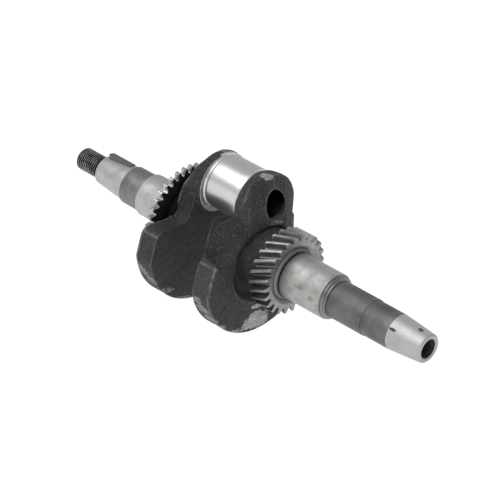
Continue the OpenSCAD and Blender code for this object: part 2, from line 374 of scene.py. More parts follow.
def cast_iron(name, scrapes=(), rust=(), bare=(), level=1.0):
    """Dark rough casting with worn edges that also carry a painted highlight, scrapes with brown in them, and
    bare dressed patches.
    """
    n = Nodes(name)
    grain = n.noise(900.0, 6.0, 0.68)
    lumps = n.noise(260.0, 5.0, 0.6, shift=(5, 2, 7))
    wide = n.noise(45.0, 4.0, 0.55, shift=(1, 9, 3))
    speck = n.ramp(n.noise(1500.0, 2.0, 0.5, shift=(8, 4, 6)), 0.66, 0.78)
    low, high, grit = ([c * level for c in rgb] for rgb in
                       ((0.013, 0.0135, 0.015), (0.025, 0.026, 0.029), (0.075, 0.076, 0.082)))
    tone = n.mix(n.ramp(wide, 0.3, 0.7), tuple(low), tuple(high))
    tone = n.mix(n.ramp(grain, 0.48, 0.66, 0.0, 0.75), tone, tuple(grit))
    tone = n.mix(n.math("MULTIPLY", speck, 0.35), tone, (0.16, 0.155, 0.15))
    # Lightened edges from the stored attribute: partly real wear, partly a painted highlight on the rounded
    # edges.
    patchy = n.ramp(n.noise(330.0, 5.0, 0.7, shift=(2, 2, 9)), 0.36, 0.60, 0.15, 1.0)
    worn_and_highlit = n.math("MULTIPLY", n.wear_and_highlight(), patchy)
    tone = n.mix(n.math("MULTIPLY", worn_and_highlit, 0.66), tone, (0.25, 0.242, 0.235))
    metal = n.math("MULTIPLY", worn_and_highlit, 0.5)
    rough = n.math("MULTIPLY_ADD", grain, 0.25, 0.45)
    if rust:
        mask = n.most(*[n.spot(c, s, 0.6, 700.0) for c, s in rust])
        mask = n.math("MULTIPLY", mask, n.ramp(n.noise(800.0, 4.0, 0.7, shift=(4, 7, 1)), 0.44, 0.58))
        tone = n.mix(n.math("MULTIPLY", mask, 0.75), tone, (0.17, 0.10, 0.075))
    if scrapes:
        mask = n.most(*[n.spot(c, s, 0.55, 380.0) for c, s in scrapes])
        mask = n.math("MULTIPLY", mask, n.ramp(n.noise(620.0, 5.0, 0.75, shift=(6, 1, 4)), 0.40, 0.56))
        tone = n.mix(n.math("MULTIPLY", mask, 0.8), tone, (0.36, 0.335, 0.315))
        metal = n.most(metal, n.math("MULTIPLY", mask, 0.6))
    if bare:
        mask = n.most(*[n.spot(c, s, 0.75, 260.0) for c, s in bare])
        streak = n.noise(500.0, 4.0, 0.7, stretch=(1.0, 0.35, 1.6), shift=(3, 3, 8))
        shine = n.mix(n.ramp(streak, 0.35, 0.65), (0.50, 0.485, 0.46), (0.27, 0.25, 0.235))
        tone = n.mix(n.math("MULTIPLY", mask, 0.92), tone, shine)
        metal = n.most(metal, n.math("MULTIPLY", mask, 0.7))
        rough = n.math("SUBTRACT", rough, n.math("MULTIPLY", mask, 0.12))
    n.bump(grain, 1.0, 0.0007)
    n.bump(lumps, 0.8, 0.0009)
    return n.done(tone, rough, metal, 0.3)


ground = steel("ground_steel", (0.48, 0.48, 0.49), (0.37, 0.37, 0.38), 0.50, rings=0.25, blotch=0.55,
               blotch_scale=85.0)
main_seat = steel("ground_steel_stained", (0.445, 0.44, 0.435), (0.33, 0.323, 0.312), 0.50, rings=0.3,
                  blotch=0.65, blotch_scale=120.0,
                  stains=(((-1, -14, 1.0), (3.6, 2, 1.6), 1.0, 600.0),
                          ((9, -14, -2), (2.4, 2, 1.6), 1.0, 600.0)),
                  stain_colour=(0.43, 0.395, 0.36))
polished = steel("polished_steel", (0.61, 0.615, 0.63), (0.56, 0.565, 0.58), 0.29, rings=0.1, blotch=0.3)
turned_grey = steel("turned_steel", (0.175, 0.175, 0.178), (0.115, 0.115, 0.117), 0.50, rings=0.4,
                    ring_scale=1500.0, blotch=0.5)
band_dark = steel("band_steel", (0.24, 0.24, 0.245), (0.14, 0.14, 0.143), 0.50, rings=0.4, blotch=0.6,
                  blotch_scale=45.0)
shoulder_dark = steel("shoulder_steel", (0.26, 0.26, 0.26), (0.09, 0.09, 0.09), 0.38, rings=0.6,
                      ring_scale=1100.0, blotch=0.3)
cone_steel = steel("cone_steel", (0.47, 0.47, 0.48), (0.39, 0.39, 0.40), 0.52, rings=0.25, blotch=0.4,
                   stains=(((66.4, -9.7, 4.3), (2.6, 1.0, 1.0), 0.35, 700.0),
                           ((80.1, -2.4, 9.3), (1.7, 1.6, 1.2), 0.9, 900.0)),
                   stain_colour=(0.12, 0.07, 0.045))
thrust_steel = steel("thrust_steel", (0.40, 0.39, 0.38), (0.22, 0.21, 0.20), 0.36, rings=0.3, blotch=0.6)
# Painted shade for the insides of holes: a near-black steel stands in for the shade in the bores.
bore_painted_shade = steel("bore_shade_steel", (0.035, 0.035, 0.036), (0.015, 0.015, 0.015), 0.5, blotch=0.4)


def thread_material():
    n = Nodes("thread_steel")
    r = n.radius()
    crest = n.ramp(r, 0.0066, 0.00705)
    cloud = n.noise(220.0, 5.0, 0.65)
    tone = n.mix(n.ramp(cloud, 0.35, 0.65), (0.012, 0.012, 0.013), (0.03, 0.03, 0.03))
    lit = n.math("MULTIPLY", crest, n.ramp(cloud, 0.38, 0.62, 0.35, 1.0))
    tone = n.mix(lit, tone, (0.42, 0.42, 0.41))
    n.bump(n.noise(1600.0, 3.0, 0.7), 0.3, 0.00006)
    return n.done(tone, n.math("MULTIPLY_ADD", cloud, 0.2, 0.3))


def gear_material():
    n = Nodes("gear_steel")
    hob = n.noise(1700.0, 3.0, 0.6, stretch=(0.25, 1.0, 1.0))
    cloud = n.noise(120.0, 5.0, 0.6)
    # Painted shade: darker in the concave hollows.
    hollow_painted_shade = n.edges(0.50, 0.44)
    tone = n.mix(n.ramp(cloud, 0.35, 0.65), (0.315, 0.315, 0.32), (0.22, 0.22, 0.225))
    tone = n.mix(n.math("MULTIPLY", n.ramp(hob, 0.4, 0.7), 0.3), tone, (0.20, 0.20, 0.205))
    # Painted shade in the tooth gaps and the bore: darker below about 23 mm radius on surfaces that do not
    # face +X.
    gap_painted_shade = n.ramp(n.radius(), 0.0233, 0.0215)
    tone = n.mix(n.math("MULTIPLY", n.math("MULTIPLY", gap_painted_shade, n.ramp(n.normal_part("X"), 0.6, 0.2)), 0.55),
                 tone, (0.12, 0.12, 0.125))
    tone = n.mix(n.math("MULTIPLY", hollow_painted_shade, 0.3), tone, (0.16, 0.16, 0.165))
    # Painted highlight along the convex tooth edges.
    tone = n.mix(n.math("MULTIPLY", n.edges(0.54, 0.6), 0.5), tone, (0.85, 0.85, 0.86))
    n.bump(hob, 0.25, 0.00006)
    return n.done(tone, n.math("MULTIPLY_ADD", cloud, 0.2, 0.27))


def thin_gear_material():
    n = Nodes("thin_gear_steel")
    # Lit and shaded tones of one steel: the faces across X are painted near-black as shade, the tooth flanks
    # and tips painted light as lit.
    face_in_shade = n.ramp(n.math("ABSOLUTE", n.normal_part("X")), 0.45, 0.8)
    cloud = n.noise(150.0, 5.0, 0.6)
    shaded_face_tone = n.mix(n.ramp(cloud, 0.35, 0.65), (0.012, 0.012, 0.013), (0.028, 0.028, 0.03))
    lit_flank_tone = n.mix(n.ramp(cloud, 0.4, 0.6), (0.50, 0.50, 0.51), (0.34, 0.34, 0.35))
    tone = n.mix(face_in_shade, lit_flank_tone, shaded_face_tone)
    n.bump(n.noise(1500.0, 3.0, 0.65), 0.3, 0.00006)
    return n.done(tone, n.math("MULTIPLY_ADD", face_in_shade, 0.25, 0.3), n.math("MULTIPLY_ADD", face_in_shade, -0.6, 1.0))


def key_material():
    n = Nodes("key_steel")
    cloud = n.noise(260.0, 5.0, 0.6)
    drawn = n.noise(2200.0, 3.0, 0.6, stretch=(0.1, 1.0, 1.0))
    tone = n.mix(n.ramp(cloud, 0.35, 0.65), (0.028, 0.03, 0.032), (0.06, 0.062, 0.065))
    tone = n.mix(n.math("MULTIPLY", n.edges(0.53, 0.58), 0.5), tone, (0.3, 0.3, 0.3))
    n.bump(drawn, 0.3, 0.00005)
    return n.done(tone, n.math("MULTIPLY_ADD", cloud, 0.2, 0.3))


thread_dark, gear_steel = thread_material(), gear_material()
thin_steel, key_steel = thin_gear_material(), key_material()

output_iron = cast_iron(
    "cast_iron_output",
    scrapes=(((-49.2, -41.2, -25.2), (3.5, 2.5, 3.5)), ((-46.5, -37.5, -30.5), (5.5, 3.0, 4.0)),
             ((-43.6, -31.5, -36.5), (5.0, 4.5, 3.0)), ((-41, -25, -41.5), (3.5, 5, 2.5)),
             ((OUT_FACE - 1.5, 1.5, 22.6), (2.6, 7.5, 1.9)),
             ((OUT_FACE, -12, -46), (2, 8, 1.6))),
    rust=(((OUT_X0, -40.6, 12), (1.6, 1.5, 4)), ((-45, -36, -33), (6, 4, 4)),
          ((OUT_FACE - 4, 4.5, 25), (4, 4, 2.2)), ((OUT_FACE, -8, -45), (2, 7, 2))),
    bare=(((OUT_FACE, 6.5, -40.6), (3, 10.5, 6.2)), ((OUT_FACE, -1, -42.5), (3, 5, 3.4)),
          ((OUT_FACE, 3, -31.2), (2, 4.5, 1.4)), ((OUT_X0 + 5, -5, 49.6), (5.5, 5.0, 2.6))),
    level=1.3)
flywheel_iron = cast_iron(
    "cast_iron_flywheel",
    scrapes=(((-98.2, -39.9, -25.5), (3, 3, 3)), ((-95, -38.2, -28), (4.5, 2.5, 3.2)),
             ((-90.4, -34.4, -32.6), (3.5, 4, 3)), ((-87, -24.6, -39), (1.8, 8, 2.2)),
             ((-87, -8, -46.2), (1.6, 9, 1.4)), ((-92, 0, 48.5), (6, 7, 1.2))),
    rust=(((-96.5, -39, -26.5), (4, 3, 4)), ((-91, -35.5, -31.5), (4, 3, 3))),
    level=1.2)
hub_iron = cast_iron("cast_iron_hub")
hub_black = steel("hub_black", (0.016, 0.016, 0.017), (0.008, 0.008, 0.008), 0.55, blotch=0.5)
collar_steel = steel("collar_steel", (0.24, 0.24, 0.24), (0.13, 0.13, 0.13), 0.4, rings=0.4, blotch=0.4)


# ---------------------------------------------------------------- turned features
def thread():
    """A helical thread with a chamfered start and a relief before the taper."""
    pitch, crest_r, depth = THREAD_PITCH, THREAD_CREST, THREAD_DEPTH
    end = THREAD_X1 - 2.2
    bm = bmesh.new()
    segments, step = 96, 0.125
    count = int((THREAD_X1 - THREAD_X0) / step)
    rings = []
    for i in range(count + 1):
        x = THREAD_X0 + (THREAD_X1 - THREAD_X0) * i / count
        ring = []
        for k in range(segments):
            turn = ((x - THREAD_X0) / pitch - k / segments) % 1.0
            wave = min(1.0, max(0.0, abs(turn - 0.5) * 2 * 1.28 - 0.13))
            fade = smoothstep(end, end - 0.8, x)
            r = crest_r - depth * (1 - wave) * fade - depth * (1 - fade)
            r = min(r, crest_r - 1.35 + (x - THREAD_X0) * 0.95)
            a = TAU * k / segments
            ring.append(bm.verts.new((x, r * math.sin(a), r * math.cos(a))))
        rings.append(ring)
    for a, b in zip(rings, rings[1:]):
        for k in range(segments):
            j = (k + 1) % segments
            bm.faces.new((a[k], b[k], b[j], a[j]))
    for ring, x in ((rings[0], THREAD_X0), (rings[-1], THREAD_X1)):
        hub = bm.verts.new((x, 0, 0))
        for k in range(segments):
            bm.faces.new((ring[k], ring[(k + 1) % segments], hub))
    return finish_mesh("flywheel_thread_helix", bm, thread_dark, ["flywheel_thread"])


def half_moon(top, radius, half_width, chamfer=0.0):
    """The half-moon key's solid or, with a high top, the cutter of its seat."""
    x_mid = TAPER_X0 + KEY_MID
    centre_z = KEY_TOP + 1.6
    bm = bmesh.new()
    depth = centre_z - top
    reach_ = math.acos(max(-1.0, min(1.0, depth / radius)))
    steps = 48
    outline = []
    for k in range(steps + 1):
        a = -reach_ + 2 * reach_ * k / steps
        outline.append((x_mid + radius * math.sin(a), centre_z - radius * math.cos(a)))
    layers = [(-half_width, chamfer), (-half_width + chamfer, 0.0), (half_width - chamfer, 0.0),
              (half_width, chamfer)] if chamfer else [(-half_width, 0.0), (half_width, 0.0)]
    mid = Vector((x_mid, 0, (top + centre_z - radius) / 2))
    rings = []
    for y, inset in layers:
        ring = []
        for x, z in outline:
            p = Vector((x, 0, z))
            p += (mid - p).normalized() * inset
            ring.append(bm.verts.new((p.x, y, p.z)))
        rings.append(ring)
    for a, b in zip(rings, rings[1:]):
        for k in range(len(outline)):
            j = (k + 1) % len(outline)
            bm.faces.new((a[k], b[k], b[j], a[j]))
    bm.faces.new(rings[0])
    bm.faces.new(rings[-1])
    return bm


def flywheel_end():
    thread()
    taper = turned("flywheel_taper_ground", [(TAPER_X0, 0), (TAPER_X0, TAPER_R0), (TAPER_X1, TAPER_R1),
                                             (TAPER_X1, 0)], ground, ["flywheel_taper"])
    cut_away(taper, half_moon(*KEY_SEAT))
    band = turned("seal_band_turned", [(BAND_X0, 0), (BAND_X0, BAND_R), (BAND_X1, BAND_R), (BAND_X1, 0)],
                  band_dark, ["seal_band"], radius=0.25)
    cut_away(band, half_moon(*KEY_SEAT))
    turned("flywheel_seat_ground", [(SEAT_X0, 0), (SEAT_X0, SEAT_R - 0.5), (SEAT_X0 + 0.5, SEAT_R),
                                    (SEAT_X1, SEAT_R), (SEAT_X1, 0)],
           ground, ["flywheel_journal"], radius=0.2)
    turned("thin_gear_hub_turned", [(HUB_X0, 0), (HUB_X0, 16.6), (HUB_X0 + 0.4, 17.0), (THIN_X1, 17.0),
                                    (THIN_X1, 21.0), (THIN_X1 + 0.4, 21.4), (HUB_X1 + 2.0, 21.4),
                                    (HUB_X1 + 2.0, 0)],
           hub_black, ["flywheel_gear_hub"])
    key = half_moon(KEY_TOP, 9.5, 2.38, chamfer=0.28)
    finish_mesh("half_moon_key", key, key_steel, ["flywheel_key"], body="key")


def output_end():
    turned("output_seat_ground", [(MAIN_X0, 0), (MAIN_X0, MAIN_R - 0.3), (MAIN_X0 + 0.3, MAIN_R),
                                  (MAIN_X1 - 0.3, MAIN_R), (MAIN_X1, MAIN_R - 0.25), (MAIN_X1, 0)],
           main_seat, ["output_journal"], radius=0.3)
    shoulder = [(STEP_X0, 0), (STEP_X0, MAIN_R - 0.3), (STEP_X0 + 0.35, MAIN_R - 0.5), (STEP_X0 + 0.5, 13.2),
                (STEP_X0 + 1.0, 13.2), (STEP_X0 + 1.15, 13.6), (STEP_X0 + 1.5, 13.5), (STEP_X0 + 2.0, 12.8),
                (STEP_X0 + 2.15, 12.1), (STEP_X0 + 2.75, 12.0), (STEP_X0 + 2.9, 12.3),
                (STEP_X1 - 0.2, 12.2), (STEP_X1, 11.9), (STEP_X1, 0)]
    turned("seal_shoulder_turned", shoulder, shoulder_dark, ["output_shoulder"], radius=0.12)
    turned("output_shaft_turned", [(SHAFT_X0, 0), (SHAFT_X0, SHAFT_R - 0.2), (SHAFT_X0 + 0.5, SHAFT_R),
                                   (SHAFT_X1 - 0.25, SHAFT_R), (SHAFT_X1, SHAFT_R - 0.3), (SHAFT_X1, 0)],
           turned_grey, ["output_shaft"], radius=0.2)
    turned("output_neck_turned", [(NECK_X0, 0), (NECK_X0, NECK_R), (NECK_X1, NECK_R), (NECK_X1, 0)],
           turned_grey, ["output_neck"], radius=0.1)
    sink, tap = 6.5, 4.35
    bottom = CONE_X0 + 3.0
    profile = [(CONE_X0, 0), (CONE_X0, NECK_R), (CONE_X1 - 0.9, CONE_R1 + 0.08), (CONE_X1, CONE_R1 - 0.75),
               (CONE_X1, sink + 0.15), (CONE_X1 - 0.35, sink - 0.35), (CONE_X1 - 1.6, 5.15)]
    x = CONE_X1 - 1.6
    while x > bottom + 2:
        profile += [(x - 0.75, tap), (x - 1.5, 5.15)]
        x -= 1.5
    profile += [(bottom + 0.6, tap - 0.1), (bottom, 0)]
    bm = bmesh.new()
    lathe(bm, divided(rounded(profile[:7], 0.22) + profile[7:]))
    cone = finish_mesh("output_taper_ground", bm, cone_steel, ["output_taper"], sharp=25)
    # The threaded bore gets the near-black painted shade.
    cone.data.materials.append(bore_painted_shade)
    for poly in cone.data.polygons:
        c = poly.center / MM
        if math.hypot(c.y, c.z) < 5.9 and c.x < CONE_X1 - 0.6:
            poly.material_index = 1
    hub = [(COLLAR_X0 - 1.5, 0), (COLLAR_X0 - 1.5, 23.5), (COLLAR_X0 + 0.4, 22.6), (COLLAR_X0 + 1.6, 20.9),
           (COLLAR_X0 + 3.4, 20.1), (GEAR_X0 - 0.6, 19.8), (GEAR_X0, 19.4), (GEAR_X0, 16.2),
           (GEAR_X1 - 1.7, 16.2), (GEAR_X1 - 1.1, 15.1), (MAIN_X0 - 0.8, 15.0), (MAIN_X0 - 0.75, 13.5),
           (MAIN_X0 - 0.05, 13.5), (MAIN_X0, 0)]
    collar = turned("timing_hub_casting", hub, hub_iron, ["timing_gear_hub"], radius=0.25)
    collar.data.materials.append(collar_steel)
    for poly in collar.data.polygons:
        c = poly.center / MM
        if c.x > GEAR_X0 + 2 and math.hypot(c.y, c.z) > 14.5:
            poly.material_index = 1


def pin():
    """Ground crankpin with a small fillet at each end and its cored middle."""
    profile = [(PIN_X0 - 2.0, 0), (PIN_X0 - 2.0, PIN_R + 0.3), (PIN_X0 + 0.1, PIN_R + 0.3),
               (PIN_X0 + 0.5, PIN_R - 0.05), (PIN_X0 + 1.1, PIN_R - 0.35), (PIN_X0 + 1.7, PIN_R - 0.35),
               (PIN_X0 + 2.3, PIN_R), (PIN_X1 - 2.3, PIN_R), (PIN_X1 - 1.7, PIN_R - 0.35),
               (PIN_X1 - 1.1, PIN_R - 0.35), (PIN_X1 - 0.5, PIN_R - 0.05), (PIN_X1 - 0.1, PIN_R + 0.3),
               (PIN_X1 + 2.0, PIN_R + 0.3), (PIN_X1 + 2.0, 0)]
    bm = bmesh.new()
    lathe(bm, divided(rounded(profile, 0.4)), (0.0, PIN_Z))
    level_off(bm, PIN_Z + PIN_R - 0.02)
    obj = finish_mesh("crankpin_ground", bm, polished, ["crankpin"])
    hole = bmesh.new()
    lathe(hole, [(PIN_X0 + 3.5, 0), (PIN_X0 + 4.5, CORE_R - 0.4), (PIN_X1 + 9, CORE_R - 0.2),
                 (PIN_X1 + 9, 0)], (0.0, CORE_Z), 64)
    cut_away(obj, hole)
    # The cored hole in the crankpin gets the near-black painted shade.
    obj.data.materials.append(bore_painted_shade)
    for poly in obj.data.polygons:
        c = poly.center / MM
        if math.hypot(c.y, c.z - CORE_Z) < CORE_R + 0.05 and PIN_X0 + 3 < c.x:
            poly.material_index = 1


def level_off(bm, limit):
    """Pulls whatever stands above a height straight in towards the crankpin's axis."""
    for v in bm.verts:
        if v.co.z > limit:
            f = (limit - PIN_Z) / (v.co.z - PIN_Z)
            v.co.y *= f
            v.co.z = limit


def keep_inside(bm, half, margin):
    """Pulls whatever lies outside a cheek's outline in towards the crankpin's axis."""
    polar = sorted((math.atan2(y, z - PIN_Z), math.hypot(y, z - PIN_Z)) for y, z in half if z > 20)
    for v in bm.verts:
        angle, r = math.atan2(abs(v.co.y), v.co.z - PIN_Z), math.hypot(v.co.y, v.co.z - PIN_Z)
        for (a0, r0), (a1, r1) in zip(polar, polar[1:]):
            if a0 <= angle <= a1:
                most = r0 + (r1 - r0) * (angle - a0) / max(a1 - a0, 1e-6) - margin
                if r > most:
                    v.co.y *= most / r
                    v.co.z = PIN_Z + (v.co.z - PIN_Z) * most / r
                break


def thrust_ring(name, x_outer, x_inner, node, iron, half):
    """A cast boss round the crankpin whose front is a machined thrust face."""
    side = 1 if x_inner > x_outer else -1
    loop = [(x_outer - side * 2.5, 13.0), (x_outer - side * 2.5, 22.0), (x_outer - side * 0.3, 21.3),
            (x_outer + side * 0.7, 20.3), (x_inner - side * 1.2, 19.6), (x_inner - side * 0.35, 19.3),
            (x_inner, 18.9), (x_inner, 18.3), (x_inner - side * 0.12, 17.9), (x_inner - side * 0.4, 17.2),
            (x_inner - side * 0.6, 13.0)]
    bm = bmesh.new()
    closed_lathe(bm, loop, (0.0, PIN_Z - 1.1))
    keep_inside(bm, half, 0.45)
    obj = finish_mesh(name, bm, thrust_steel, [node])
    obj.data.materials.append(iron)
    for poly in obj.data.polygons:
        if side * (poly.center.x / MM - x_inner) < -0.7 or abs(poly.normal.x) < 0.3:
            poly.material_index = 1


# ---------------------------------------------------------------- gears
def tooth_profile(teeth, root, tip, foot, crest):
    """One tooth as (radius, angle) pairs, curved like an involute with a rounded root."""
    half = math.pi / teeth
    points = [(root, -half), (root, -half * (foot + 0.12)), (root + (tip - root) * 0.07, -half * foot * 0.97)]
    for t in (0.2, 0.36, 0.52, 0.68, 0.84):
        width = foot * 0.93 + (crest - foot * 0.93) * (t ** 1.15)
        points.append((root + (tip - root) * t, -half * width))
    points += [(tip - 0.12, -half * (crest + 0.02)), (tip, -half * (crest - 0.09))]
    return points + [(tip, 0.0)] + [(r, -a) for r, a in reversed(points[1:])]


def gear(name, teeth, root, tip, x0, x1, twist, loop_in, material, nodes, foot, crest, slices,
         chamfer):
    """A gear whose teeth turn through twist degrees; loop_in lists the rings inside the teeth."""
    base = tooth_profile(teeth, root, tip, foot, crest)
    ring_points = [(r, a + TAU * i / teeth) for i in range(teeth) for r, a in base]
    bm = bmesh.new()

    def ring(x, radius=None, pull=0.0):
        turn = math.radians(twist) * (x - x0) / (x1 - x0)
        out = []
        for r, a in ring_points:
            rr = radius if radius is not None else max(root - 0.6, r - pull * (r - root) / (tip - root))
            out.append(bm.verts.new((x, rr * math.sin(a + turn), rr * math.cos(a + turn))))
        return out

    rings = [ring(x, r) for x, r in loop_in[0]]
    rings.append(ring(x0, pull=chamfer))
    rings += [ring(x0 + chamfer + (x1 - x0 - 2 * chamfer) * k / slices) for k in range(slices + 1)]
    rings.append(ring(x1, pull=chamfer))
    rings += [ring(x, r) for x, r in loop_in[1]]
    count = len(ring_points)
    for a, b in zip(rings, rings[1:] + rings[:1]):
        for k in range(count):
            j = (k + 1) % count
            bm.faces.new((a[k], b[k], b[j], a[j]))
    return finish_mesh(name, bm, material, nodes, sharp=28)


def gears():
    tip = 25.3
    inner = ([(GEAR_X0 + 0.3, 16.25), (GEAR_X0, 16.5), (GEAR_X0, 20.6)],
             [(GEAR_X1, 20.7), (GEAR_X1, 18.8), (GEAR_X1 - 0.15, 18.5), (GEAR_X1 - 0.9, 17.4),
              (GEAR_X1 - 1.8, 16.3), (GEAR_X1 - 2.0, 16.22)])
    gear("timing_gear_helical", 24, 21.3, tip, GEAR_X0, GEAR_X1, 14.0, inner, gear_steel,
         ["timing_gear", "timing_gear_key"], 0.74, 0.26, 12, 0.3)
    inner = ([(THIN_X0 + 0.2, 17.05), (THIN_X0, 17.3), (THIN_X0, 22.0), (THIN_X0 + 0.4, 22.4),
              (THIN_X0 + 0.4, 27.0), (THIN_X0, 27.4)],
             [(THIN_X1, 27.4), (THIN_X1, 17.3), (THIN_X1 - 0.2, 17.05)])
    gear("balancer_gear_thin", 37, 29.2, 32.9, THIN_X0, THIN_X1, 0.0, inner, thin_steel,
         ["balancer_gear"], 0.72, 0.26, 3, 0.2)


# ---------------------------------------------------------------- castings
def weight_side(radius):
    """The lower part of a casting's outline, from the ledge down round the counterweight."""
    corner = math.degrees(math.asin(WEIGHT_HALF / radius))
    points = [(WEIGHT_HALF - 0.8, -2.0), (WEIGHT_HALF - 0.15, -3.6), (WEIGHT_HALF, -6.0)]
    for k in range(17):
        a = math.radians(corner * (1 - k / 16))
        points.append((radius * math.sin(a), -radius * math.cos(a)))
    return points


OUTPUT_NEAR = [(0, 49.3), (6, 49.1), (11, 48.2), (15, 46.4), (18.4, 43.5), (20.5, 39.4), (21.5, 34.5),
               (21.7, 30), (21.9, 26.8), (23.4, 25.3), (30, 25.2), (37, 25.8), (39.6, 25.2), (40.6, 23.6),
               (40.9, 18), (40.8, 10), (40.4, 2.5), (40.6, 0.4), (41.6, -0.8)]
OUTPUT_FAR = [(0, 49.3), (6, 49.0), (12, 47.6), (16.5, 45.3), (20.0, 42.0), (22.0, 37.6), (22.8, 32.4),
              (23.2, 29), (24.6, 26.6), (27.5, 25.4), (30.2, 23.6), (32.0, 21), (34.4, 17), (37.2, 10.3),
              (39.0, 6.0), (40.1, 2.0), (40.7, 0.4), (41.6, -0.8)]
FLYWHEEL_SIDE = [(0, 48.9), (5, 48.5), (9.7, 47.1), (14, 44.6), (17.6, 41.2), (20.2, 36.9), (21.2, 32),
                 (20.6, 27), (18.7, 23), (17.7, 19), (17.4, 14), (17.6, 10), (18.4, 7), (20.2, 4.6),
                 (23.5, 3.0), (28, 2.2), (35, 1.4), (40, 0.5), (41.8, -0.6)]
CENTRE_Z = -2.5


def even_outline(near, far, radius, count):
    """Closed outline of a casting from its two halves, with evenly spaced points."""
    loop = [Vector(p) for p in far + weight_side(radius)]
    loop += [Vector((-y, z)) for y, z in reversed((near + weight_side(radius))[1:-1])]
    lengths = [0.0]
    for p, q in zip(loop, loop[1:] + loop[:1]):
        lengths.append(lengths[-1] + (q - p).length)
    out, j = [], 0
    for k in range(count):
        want = lengths[-1] * k / count
        while lengths[j + 1] < want:
            j += 1
        t = (want - lengths[j]) / (lengths[j + 1] - lengths[j])
        out.append(loop[j].lerp(loop[(j + 1) % len(loop)], t))
    for _ in range(3):
        out = [(out[k - 1] + out[k] * 2 + out[(k + 1) % count]) / 4 for k in range(count)]
    return out


def outline_gaps(points, outline):
    """Distance of every (y, z) point from the outline, in millimetres."""
    p = np.array(points)
    a = np.array([tuple(v) for v in outline])
    d = np.roll(a, -1, axis=0) - a
    best = np.full(len(p), 99.0)
    for k in range(len(a)):
        t = np.clip(((p - a[k]) @ d[k]) / max(d[k] @ d[k], 1e-9), 0, 1)
        best = np.minimum(best, np.hypot(*(p - a[k] - t[:, None] * d[k]).T))
    return best


def pocket(y, z):
    """Radius of a point, the rim of the pocket round the gear there, and how soft that rim is."""
    r = math.hypot(y, z)
    up = z / max(r, 1e-6)
    rim = 27.8 - 2.4 * smoothstep(-0.7, 0.2, up) - 3.4 * smoothstep(0.1, 1.0, up)
    return r, rim, 0.35 + 2.6 * smoothstep(-0.15, 0.3, up) * (1 - smoothstep(0.7, 0.95, up))


def output_height(y, z, thick):
    """Height of the output web's outer face above its inner face."""
    far = smoothstep(0, 12, y)
    a = abs(y) - far
    lean = 0.386 * (math.hypot(max(0.0, a - 7.0), 3.0) - 3.0) * smoothstep(4, 30, z)
    top = soft_min(thick - lean, thick - lean - (z - 24) * 0.249, 1.2)
    top = soft_min(top, thick - lean - 2.74 - (z - 35) * 0.488, 1.2)
    lean_ridge = math.tan(math.radians(11)) * RIDGE_Y * smoothstep(4, 30, z)
    shoulder = soft_min(top, thick - lean_ridge - (a - RIDGE_Y) * (0.62 + 0.16 * far), 1.3)
    flank = soft_min(shoulder, thick - 6.0 - (a - RIDGE_Y) * 1.88, 1.2)
    shoulder += (flank - shoulder) * smoothstep(22.5 - 3.5 * far, 27.0 - 2.0 * far, z)
    w = smoothstep(-1.8, 7.5 - 6.3 * smoothstep(25, 38, a), z)
    height = top * (1 - w) + shoulder * w
    height -= 0.9 * (1 - smoothstep(0.5, 1.3, math.hypot(y + 27.2, z + 27.8)))
    r, rim, blend = pocket(y, z)
    rise = min(1.6, max(0.0, (r - rim + 7.0) / 7.0))
    return soft_min(height, thick - 5.0 + 5.0 * rise ** 1.7, blend)


def flywheel_height(y, z, thick):
    """Height of the flywheel web's outer face above its inner face."""
    a = abs(y)
    lean = math.tan(math.radians(11)) * a * smoothstep(16, 34, z)
    top = soft_min(thick - lean, thick - lean - (z - 20) * 0.2, 1.5)
    return soft_min(top, thick - lean - 2.4 - (z - 32) * 0.45, 2.0)


def output_wear_and_highlight(y, z):
    # Lightened edges on the ridges, the parting line and the cored hole's mouth, partly real wear and partly
    # painted highlight; the pocket's rim gets a painted highlight of its lit edge.
    ridge = (1 - smoothstep(0.05, 0.4, abs(abs(y) - 19.0))) * smoothstep(10, 18, z) * 0.35
    parting = (1 - smoothstep(0.1, 0.7, abs(y))) * smoothstep(39, 43, z) * 0.9
    mouth = (1 - smoothstep(0.3, 1.1, abs(math.hypot(y, z - CORE_Z) - CORE_R - 0.9))) * 0.8
    r, rim, _ = pocket(y, z)
    lip = (1 - smoothstep(0.3, 0.9, abs(r - rim))) * (1 - smoothstep(-4, 0, z)) * 0.7
    return max(ridge, parting, lip, mouth)


def flywheel_lean(y, z):
    """How far the flywheel web's inner face stands back beside the thrust ring."""
    return 0.30 * max(0.0, abs(y) - 15.0) * smoothstep(18, 24, z)


